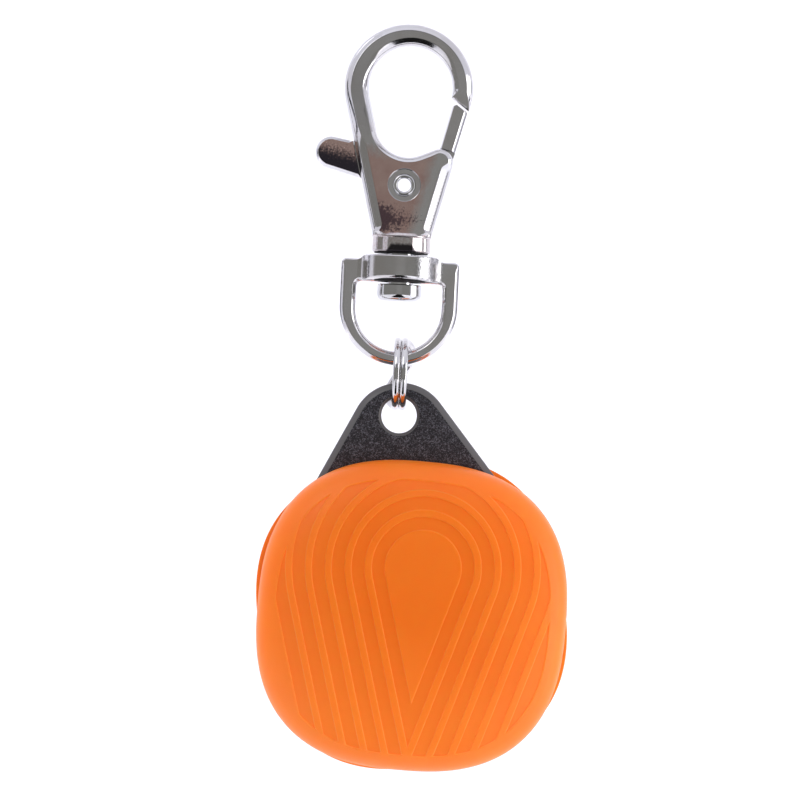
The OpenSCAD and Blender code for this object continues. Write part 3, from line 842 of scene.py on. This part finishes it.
def build_spring():
    """The coil spring under the lever's tab side."""
    wire, turns, per_turn = 0.11, 4, 28
    centre = (SPRING_LOW + SPRING_HIGH) / 2
    radius = (SPRING_HIGH[0] - SPRING_LOW[0]) / 2 - wire
    low, high = SPRING_LOW[2] + wire, SPRING_HIGH[2] - wire
    a = 2 * np.pi * np.arange(turns * per_turn + 1) / per_turn
    rise = 0.5 * smoothstep(a / (2 * np.pi), 0, turns) + 0.5 * a / (2 * np.pi * turns)
    out = np.stack([np.cos(a), np.sin(a), 0 * a], 1)
    path = np.stack([centre[0] + radius * np.cos(a), centre[1] + radius * np.sin(a),
                     low + (high - low) * rise], 1)
    up = np.tile([0.0, 0, 1], (len(a), 1))
    points, faces = tube(path, up, out, wire, 12)
    piece = piece_from("lever_spring", points, faces, 60)
    finish_piece(piece, "hook", "spring_steel", SPRING_STEEL, "trigger_spring")
    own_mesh(piece)


# ---- Swivel ----

def build_swivel_rivet():
    """The post under the collar, with its round button head."""
    r, low, high, top = RIVET_HIGH[0], RIVET_LOW[2] - 0.2, RIVET_HIGH[2], -27.1
    profile = [(1.5, high), (1.5, top), (r - 0.12, top), (r, top - 0.1), (r + 0.03, top - 1.0),
               (r + 0.01, top - 1.25), (r - 0.05, top - 1.42), (r - 0.18, top - 1.62),
               (r - 0.36, low + 0.14), (r - 0.55, low + 0.06), (r - 0.85, low + 0.015), (r - 1.2, low),
               (0.35, low)]
    piece = piece_from("swivel_button", *turned(profile, 96, False), 40)
    finish_piece(piece, "hook", "rivet_steel", RIVET_STEEL, "swivel_rivet")


def d_outline(radius, centre_z, top_z, corner):
    """A D: half a circle below, straight sides and rounded corners above. Anticlockwise."""
    foot = arc((0, centre_z), radius, 180, 360, 100)
    right = arc((radius - corner, top_z - corner), corner, 0, 90, 9)
    left = arc((corner - radius, top_z - corner), corner, 90, 180, 9)
    return np.concatenate([foot, line(foot[-1], right[0]), right, line(right[-1], left[0]), left,
                           line(left[-1], foot[0])])


def webbed(points, radius):
    """Draws a round collar's sides out along X into hollow fillets that run onto the D's shoulders."""
    end = np.array([radius + 0.55, 1.0])
    web = bend(np.array([0.866 * radius, 0.5 * radius]), np.array([radius, 1.0]), end, 40)
    web = np.concatenate([web, [[end[0], 0]]])
    bearing = np.arctan2(web[:, 1], web[:, 0])[::-1]
    reach = np.linalg.norm(web, axis=1)[::-1] / radius
    scale = np.interp(np.arctan2(np.abs(points[:, 1]), np.abs(points[:, 0])), bearing, reach)
    return points * np.where(np.linalg.norm(points, axis=1) > 0.7 * radius, scale, 1)[:, None]


def build_eye():
    """The D, its round collar and a black disc of painted shade in the recess under the collar."""
    outer = d_outline(EYE_R, EYE_Z, EYE_TOP_Z, 0.55)
    opening = d_outline(EYE_OPENING_R, EYE_OPENING_Z, EYE_BAR_Z, 0.6)[::-1]
    above = outer[:, 1] > EYE_TOP_Z - 0.5
    width, side = (blur(np.where(above, *pair), outer, 0.4) for pair in ((0.16, 0.46), (0.8, 0.5)))
    piece = slab("swivel_loop", [outer, opening], [width, 0.48], [side, 0.5], flat_top(1.0), step=0.5)
    bore = turned([(POST_BORE_R, EYE_BAR_Z - 1), (POST_BORE_R, EYE_TOP_Z + 1)], 64, False)
    cut(piece, piece_from("cutter", *bore, None))
    finish_piece(piece, "eye", "nickel", NICKEL, "swivel_eye")

    r, top, low = EYE_HIGH[1], EYE_HIGH[2], COLLAR_BOTTOM_Z
    profile = [(POST_BORE_R, top - 0.1), (POST_BORE_R + 0.1, top), (r - 0.3, top), (r - 0.08, top - 0.05),
               (r, top - 0.15), (r, top - 0.2), (r, top - 0.5), (r, low + 0.7), (r, low + 0.35),
               (r, low + 0.3), (r - 0.1, low + 0.08), (r - 0.25, low), (RECESS_R, low),
               (RECESS_R, low + 0.9), (POST_BORE_R, low + 0.9)]
    points, faces = turned(profile, 160, True)
    arch = 1 - (points[:, 0] / r) ** 2
    points[:, 2] += COLLAR_ARCH * arch * (points[:, 2] < low + 0.5)
    spread = webbed(points[:, :2], r)
    out = np.linalg.norm(spread, axis=1) / np.linalg.norm(points[:, :2], axis=1) - 1
    slope = smoothstep(out, 0, 0.12) * smoothstep(points[:, 2], low + 0.5, top - 0.5)
    points = np.column_stack([spread, points[:, 2] - slope * (top - EYE_TOP_Z - 0.02)])
    finish_piece(piece_from("swivel_collar", points, faces, 30), "eye", "nickel", NICKEL_CAST)

    # A black disc in the recess under the collar is painted shade
    profile = [(POST_BORE_R, low + 0.85), (RECESS_R - 0.02, low + 0.85), (RECESS_R - 0.02, low + 0.06),
               (RECESS_R - 0.1, low - 0.02), (POST_BORE_R, low - 0.02)]
    piece = piece_from("swivel_recess_shade_disc", *turned(profile, 96, True), 30)
    finish_piece(piece, "eye", "nickel", GAP_SHADE_BLACK)


# ---- Split ring ----

def build_split_ring():
    """Two turns of round wire whose middle crosses from the rear coil to the front one."""
    middle_x = JOINTS["light_swing"][0]
    pitch = 2 * WIRE_R + 0.02
    angle = np.radians(np.linspace(60, 736, 260))
    local = np.degrees(angle) - 60
    share = smoothstep(local, 360 - RING_CROSSING, 360)
    twist = RING_TWIST * np.sin(2 * angle) * np.sqrt(np.maximum(0, np.cos(angle)))
    path = np.stack([middle_x + pitch * (share - 0.5) + twist, RING_MEAN_R * np.cos(angle),
                     RING_Z + RING_MEAN_R * np.sin(angle)], 1)
    out = np.stack([0 * angle, np.cos(angle), np.sin(angle)], 1)
    side = np.tile([1.0, 0, 0], (len(angle), 1))
    points, faces = tube(path, side, out, WIRE_R, 28)
    piece = piece_from("split_ring_wire", points, faces, 50)
    finish_piece(piece, "ring", "ring_steel", RING_STEEL, "split_ring")


# ---- Light ----

def squircle(half, angle):
    """Radius of the rounded square at an angle."""
    across, along = np.abs(np.cos(angle)), np.abs(np.sin(angle))
    return half / (across ** SQUARENESS + along ** SQUARENESS) ** (1 / SQUARENESS)


def lean_points(points, lean, centre):
    """Turns points (x, z) clockwise, as seen from the front, and moves them to a centre."""
    c, s = math.cos(lean), math.sin(lean)
    x, z = points[:, 0], points[:, 1]
    return np.stack([centre[0] + x * c + z * s, centre[1] - x * s + z * c], 1)


def build_plate():
    """The black plate: an ear with a hole above, and a rim that shows between the two covers."""
    drop = float(np.linalg.norm(PUCK - SWING))
    angle, way = directions(720)
    centre = np.array([0, drop + EAR_Z])
    along = way @ centre
    reach = EAR_R ** 2 - centre @ centre + along ** 2
    round_top = np.where(reach > 0, along + np.sqrt(np.maximum(reach, 0)), 0)
    lean = math.radians(EAR_FLANK)
    flanks = [np.array([side * math.cos(lean), math.sin(lean)]) for side in (-1, 1)]
    ear = np.minimum(*[(EAR_R + flank @ centre) / np.maximum(way @ flank, 1e-6) for flank in flanks])
    tangent = centre + EAR_R * flanks[1]
    off_top = np.abs(np.arctan2(way[:, 0], way[:, 1]))
    ear = np.where(off_top < math.atan2(tangent[0], tangent[1]), round_top, ear)
    ear = np.where(off_top < math.radians(60), ear, 0)
    outline = way * np.maximum(squircle(PLATE_HALF, angle), ear)[:, None]
    ear_share = smoothstep(outline[:, 1], 11.0, 12.5) * (np.abs(outline[:, 0]) < 13)
    hole, core = circle((0, drop + EAR_HOLE_Z), EAR_HOLE_R, 72), circle((0, 0), CORE_R, 96)
    loops = [lean_points(loop, -LIGHT_LEAN, PUCK) for loop in (outline, hole, core)]
    widths = [blur(0.12 + 0.58 * ear_share, outline, 0.4), 0.32, 0.05]
    sides = [blur(PLATE_Y - 0.08 - 0.42 * ear_share, outline, 0.4), PLATE_Y - 0.35, PLATE_Y - 0.05]
    piece = slab("light_plate", loops, widths, sides, flat_top(PLATE_Y), step=0.9, angle=60)
    field = piece.data.attributes.new("field", "FLOAT", "POINT")
    flat = [1.0 if abs(abs(v.co.y) - PLATE_Y * MM) < 1e-6 else 0.0 for v in piece.data.vertices]
    field.data.foreach_set("value", flat)
    finish_piece(piece, "light", "plate_black", PLATE, "mount_plate")


# The cover's relief, in its own frame with its centre at the origin
DROP_CENTRE = np.array([0.75, 5.68])
DROP_HALF_ANGLE = math.radians(16.5)
GROOVES = ((4.18, 5.76), (6.4, 8.0), (8.6, 10.2), (10.8, 12.4), (13.0, 14.6), (15.2, 16.8))
GROOVE_DEPTH = 0.16
GROOVE_WALL = 0.13
RELIEF_SHARE = 0.885        # share of the cover's outline at which the grooves end
FACE_SHARE = 0.92           # share at which the face's triangles give way to the rows of the edge


def drop_distance(points):
    """Size of the drop outline that passes through each point."""
    q = points - DROP_CENTRE
    right = q @ np.array([math.cos(DROP_HALF_ANGLE), -math.sin(DROP_HALF_ANGLE)])
    left = q @ np.array([-math.cos(DROP_HALF_ANGLE), -math.sin(DROP_HALF_ANGLE)])
    angle = np.arctan2(q[:, 1], q[:, 0])
    low, high = -DROP_HALF_ANGLE, math.pi + DROP_HALF_ANGLE
    up = (angle >= low) | (angle <= high - 2 * math.pi)
    return np.where(up, np.linalg.norm(q, axis=1), np.maximum(right, left))


def drop_outline(size, step=0.45):
    """One drop outline, from its tip up the right side, over the top and down to the tip."""
    half = math.degrees(DROP_HALF_ANGLE)
    tip = DROP_CENTRE - np.array([0, size / math.sin(DROP_HALF_ANGLE)])
    bow = arc(DROP_CENTRE, size, -half, 180 + half, max(24, int(size * 3.7 / step)))
    return np.concatenate([[tip], line(tip, bow[0], step), bow, line(bow[-1], tip, step), [tip]])


def outline_share(points):
    """How far out each point is: 1 on the cover's outline."""
    angle = np.arctan2(points[:, 1], points[:, 0])
    return np.linalg.norm(points, axis=1) / squircle(COVER_HALF, angle)


def stretches(run):
    """The parts of a line that lie within the relief."""
    pieces, current = [], []
    for point, kept in zip(run, outline_share(run) < RELIEF_SHARE + 0.004):
        if kept:
            current.append(point)
        elif current:
            pieces.append(current)
            current = []
    return [np.array(p) for p in pieces + [current] if len(p) > 1]


def groove_depth(points):
    """1 on the floor of a groove, 0 on the raised face."""
    size = drop_distance(points)
    within = np.zeros(len(points))
    for low, high in GROOVES:
        wall = np.minimum(size - low, high - size) / GROOVE_WALL
        within = np.maximum(within, np.clip(wall, 0, 1))
    edge = (RELIEF_SHARE - outline_share(points)) * COVER_HALF / GROOVE_WALL
    return within * np.clip(edge, 0, 1)


def dome_height(share, depth):
    """Height of the domed face over the rim, at a share of the outline."""
    cos = np.clip(share, 0, 1) ** (DOME / 2)
    return depth * np.sqrt(np.maximum(0, 1 - cos ** 2)) ** (2 / DOME)


def cover_mesh(around=240, edge_rows=22, inner_rows=10):
    """Points, faces and groove shares of a cover: local x and z, and h towards its outside."""
    depth = CROWN_Y - RIM_Y
    angle, way = directions(around)
    outline = way * squircle(COVER_HALF, angle)[:, None]
    border = outline * FACE_SHARE
    lines = []
    for share in (RELIEF_SHARE, RELIEF_SHARE - GROOVE_WALL / COVER_HALF):
        ring = outline * share
        lines.append(np.concatenate([ring, ring[:1]]))
    for low, high in GROOVES:
        for size in (low, low + GROOVE_WALL, high - GROOVE_WALL, high):
            lines += stretches(drop_outline(size))
    spots = spots_within([border], 0.75)
    taken = np.concatenate(lines)
    near = np.array([np.min(np.linalg.norm(taken - s, axis=1)) for s in spots])
    flat, triangles = triangulate([border], lines, spots[near > 0.25])
    sunk = groove_depth(flat)
    height = dome_height(outline_share(flat), depth)
    points = [np.stack([flat[:, 0], flat[:, 1], height - GROOVE_DEPTH * sunk], 1)]
    faces = [list(t) for t in triangles]

    # Rows over the outer edge and back over the inside, each at an angle on its own dome
    edge_start = math.acos(FACE_SHARE ** (DOME / 2))
    rows = [(COVER_HALF, depth, edge_start * (1 - j / edge_rows)) for j in range(1, edge_rows + 1)]
    rows += [(COVER_HALF - COVER_WALL, depth - COVER_WALL, math.pi / 2 * j / inner_rows)
             for j in range(inner_rows)]
    previous, total = 0, len(flat)
    for half, rise, phi in rows:
        ring = way * squircle(half, angle)[:, None] * math.cos(phi) ** (2 / DOME)
        points.append(np.column_stack([ring, np.full(around, rise * math.sin(phi) ** (2 / DOME))]))
        faces += strip(previous, total, around, flip=True)
        previous, total = total, total + around
    points.append(np.array([[0, 0, depth - COVER_WALL]]))
    faces += [[previous + (i + 1) % around, previous + i, total] for i in range(around)]
    return np.concatenate(points), faces, sunk


def build_cover(name, body, cad_node, face, turn, shape):
    """A cover on one side: face is -1 for the front and 1 for the rear."""
    points, faces, sunk = shape
    flat = lean_points(points[:, :2] * [-face, 1], turn, PUCK)
    placed = np.stack([flat[:, 0], face * (RIM_Y + points[:, 2]), flat[:, 1]], 1)
    piece = piece_from(name, placed, faces, None)
    attribute = piece.data.attributes.new("groove", "FLOAT", "POINT")
    values = np.zeros(len(points), np.float32)
    values[:len(sunk)] = sunk
    attribute.data.foreach_set("value", values)
    set_shading(piece, 28)
    finish_piece(piece, body, "orange_cover", ORANGE, cad_node)


def build_foam_pad():
    """The foam disc that holds the coin cell down, with soft edges."""
    low, high = box("battery_pad")
    centre = (low + high) / 2
    r, t = (high[0] - low[0]) / 2, (high[1] - low[1]) / 2
    half = [(0.3, t), (r - 0.9, t), (r - 0.35, t - 0.1), (r - 0.08, t - 0.4), (r, t - 0.9)]
    profile = [(out, -h) for out, h in half] + [(r - 0.05, 0)] + half[::-1]
    points, faces = turned(profile, 64, False)
    points = along_y(points, centre[[0, 2]])
    points[:, 1] += centre[1]
    piece = piece_from("foam_pad", points, faces, 40)
    foam = plain("pad_foam", (0.05, 0.05, 0.052), (0.09, 0.09, 0.095), 0.85, 0.8, depth_mm=0.06)
    finish_piece(piece, "rear", "pad_foam", foam, "battery_pad")


def dress_inner_nodes():
    """Procedural finishes for the CAD pieces inside the light."""
    metal = {"metallic": 1.0, "depth_mm": 0.003}
    nylon = plain("black_nylon", (0.020, 0.020, 0.022), (0.034, 0.034, 0.036), 0.42, 1.2)
    rubber = plain("seal_rubber", (0.012, 0.012, 0.012), (0.022, 0.022, 0.022), 0.60, 0.8)
    board = plain("board_green", (0.010, 0.110, 0.040), (0.014, 0.150, 0.055), 0.32, 1.5)
    lens = plain("led_lens", (0.90, 0.84, 0.52), (0.95, 0.91, 0.66), 0.18, 1.0)
    chip = plain("chip_black", (0.014, 0.014, 0.015), (0.030, 0.030, 0.032), 0.50, 0.5)
    brass = plain("contact_brass", (0.72, 0.50, 0.20), (0.80, 0.60, 0.28), 0.22, 1.0, **metal)
    screw = plain("screw_steel", (0.62, 0.62, 0.61), (0.70, 0.70, 0.69), 0.25, 0.6, **metal)
    cell = plain("cell_steel", (0.66, 0.67, 0.66), (0.74, 0.74, 0.73), 0.24, 1.5, **metal)
    finishes = {
        "core_housing": nylon, "front_carrier": nylon, "rear_carrier": nylon, "front_seal": rubber,
        "rear_seal": rubber, "retaining_ring": SPRING_STEEL, "circuit_board": board, "leds": lens,
        "driver_chip": chip, "contact_pads": brass, "switch_wiper": brass, "board_screws": screw,
        "coin_cell": cell, "positive_contact": brass, "negative_contact": brass,
    }
    for name, material in finishes.items():
        materials = frame["nodes"][name].data.materials
        materials.clear()
        materials.append(material)


# ---- Studio ----

VIEW_LEAN = math.radians(2.75)      # the object hangs this far from upright in the view
VIEW_WIDTH = 90.32                  # width of the picture at the object, in millimetres
VIEW_DISTANCE = 350.0
VIEW_CENTRE = np.array([0.68, -40.09])
CARD_R = 0.9                        # distance of the side cards from the object, in metres
CARD_HALF = 0.26


def build_camera():
    camera = bpy.data.cameras.new("camera")
    camera.sensor_width = 36
    camera.lens = 18 * VIEW_DISTANCE / (VIEW_WIDTH / 2)
    camera.clip_start, camera.clip_end = 0.01, 10
    seat = add_object("camera", camera)
    c, s = math.cos(VIEW_LEAN), math.sin(VIEW_LEAN)
    seat.matrix_world = Matrix((
        (c, -s, 0, VIEW_CENTRE[0] * MM), (0, 0, -1, -VIEW_DISTANCE * MM), (s, c, 0, VIEW_CENTRE[1] * MM),
        (0, 0, 0, 1)))
    bpy.context.scene.camera = seat


def emission_card(name, corners, material, faces=((0, 1, 2, 3),)):
    """A stage card that only reflections and light see."""
    card = mesh_object(name, corners, faces)
    card.data.materials.append(material)
    card.visible_camera = False


def glow(name, stops, centre, radius):
    """Light that changes with the distance from a centre, as on a shaded studio card."""
    finish = Finish(name)
    shade = finish.ramp(finish.distance(centre).math("DIVIDE", radius), *stops)
    light = finish.node("ShaderNodeEmission", 0, {"Color": shade, "Strength": 1})
    finish.tree.links.new(light.socket, finish.tree.nodes["Material Output"].inputs["Surface"])
    finish.tree.nodes.remove(finish.shader)
    return finish.material


def curved_card(name, start, end, centre_z, material):
    """A card bent round the object between two bearings, in degrees from the camera towards the right."""
    bearings = np.radians(np.linspace(start, end, max(2, int(abs(end - start) / 6))))
    corners = [(CARD_R * math.sin(a), -CARD_R * math.cos(a), centre_z + h)
               for a in bearings for h in (-CARD_HALF, CARD_HALF)]
    faces = [(2 * i, 2 * i + 2, 2 * i + 3, 2 * i + 1) for i in range(len(bearings) - 1)]
    emission_card(name, corners, material, faces)


def area_light(name, place, aim, size, power, colour=(1, 1, 1)):
    """A lamp of a given size that faces a spot and is not seen itself."""
    light = bpy.data.lights.new(name, "AREA")
    light.shape = "RECTANGLE"
    light.size, light.size_y = size
    light.energy = power
    light.color = colour
    seat = add_object(name, light)
    seat.location = place
    seat.rotation_euler = (Vector(aim) - Vector(place)).to_track_quat("-Z", "Y").to_euler()
    seat.visible_camera = False
    return seat


def build_backdrop():
    """A pale floor that sweeps up into a pale wall behind the object."""
    floor_z, wall_y, sweep_r, half = -0.30, 0.75, 0.25, 1.6
    profile = [(-0.9, floor_z), (wall_y - sweep_r, floor_z)]
    profile += [(wall_y - sweep_r + sweep_r * math.sin(a), floor_z + sweep_r - sweep_r * math.cos(a))
                for a in np.radians(np.linspace(6, 90, 15))]
    profile.append((wall_y, 1.1))
    points = [(x, y, z) for y, z in profile for x in (-half, half)]
    faces = [(2 * i, 2 * i + 1, 2 * i + 3, 2 * i + 2) for i in range(len(profile) - 1)]
    backdrop = mesh_object("backdrop", points, faces)
    backdrop.data.shade_smooth()
    finish = Finish("backdrop")
    tone = finish.ramp(finish.noise(120, 2), (0.3, 0.92), (0.7, 0.95))
    finish.set("Base Color", finish.mix(tone, (0, 0, 0), (0.98, 0.98, 1.0)))
    finish.set("Roughness", 0.9)
    finish.set("Emission Color", (0.9, 0.9, 1))
    finish.set("Emission Strength", 0.19)
    backdrop.data.materials.append(finish.material)


def build_studio():
    """Pale surroundings, shaded cards for the plating to reflect, and soft lamps."""
    scene = bpy.context.scene
    scene.view_settings.view_transform = "Standard"
    scene.world = bpy.data.worlds.new("studio")
    scene.world.use_nodes = True
    background = scene.world.node_tree.nodes["Background"]
    background.inputs["Color"].default_value = (0.90, 0.90, 1.0, 1)
    background.inputs["Strength"].default_value = 0.88
    build_backdrop()
    centre_z, card_y, half = VIEW_CENTRE[1] * MM, -0.95, 0.62
    stops = ((0.0, (0.280, 0.277, 0.268)), (0.72, (0.250, 0.247, 0.242)), (0.80, (0.07, 0.065, 0.07)),
             (0.92, (0.06, 0.06, 0.065)), (1.0, (0.30, 0.30, 0.32)))
    corners = [(half * x, card_y, centre_z + half * h) for x, h in ((-1, -1), (1, -1), (1, 1), (-1, 1))]
    emission_card("front_card", corners, glow("front_card", stops, (0, card_y, centre_z), half))
    grey, black = (glow(name, ((0.0, tone), (1.0, tone)), (0, 0, 0), 2) for name, tone in (
        ("side_card", (0.235, 0.232, 0.222)), ("dark_card", 0.012)))
    for name, start, end, tone in (("left_card", -88, -15, grey), ("left_gap", -113, -106, black),
                                   ("right_card", 15, 60, grey), ("right_gap", 106, 113, black)):
        curved_card(name, start, end, centre_z, tone)
    corners = [(-0.20, -0.93, -0.285), (0.20, -0.93, -0.285), (0.13, -0.1, -0.285), (-0.16, -0.1, -0.285)]
    emission_card("dark_floor", corners, black)
    aim, warm = (0, 0, centre_z), (1, 0.98, 0.96)
    area_light("key_right", (0.86, -0.17, 0.0), aim, (0.40, 0.6), 1.7, (1, 0.99, 0.97))
    area_light("fill_left", (-0.55, -0.60, 0.6), aim, (0.45, 0.4), 1.2, warm)
    # These lamps light the orange covers and are left out of reflections
    for name, place, size, power in (("fill_low", (0.25, -0.75, -0.22), (0.7, 0.12), 2.0),
                                     ("rim_left", (-0.6, 0.22, -0.05), (0.1, 0.3), 1.0),
                                     ("rim_right", (0.6, 0.22, -0.10), (0.1, 0.3), 0.8)):
        area_light(name, place, aim, size, power, warm).visible_glossy = False
    area_light("top", (0.0, -0.25, 0.65), aim, (0.7, 0.5), 0.1)


build_hook()
build_neck()
build_lever()
build_eyelet()
build_spring()
build_swivel_rivet()
build_eye()
build_split_ring()
build_plate()
COVER_SHAPE = cover_mesh()
build_cover("front_cover_shell", "front", "front_cover", -1, FRONT_TURN, COVER_SHAPE)
build_cover("rear_cover_shell", "rear", "rear_cover", 1, REAR_TURN, COVER_SHAPE)
build_foam_pad()
dress_inner_nodes()
build_camera()
build_studio()
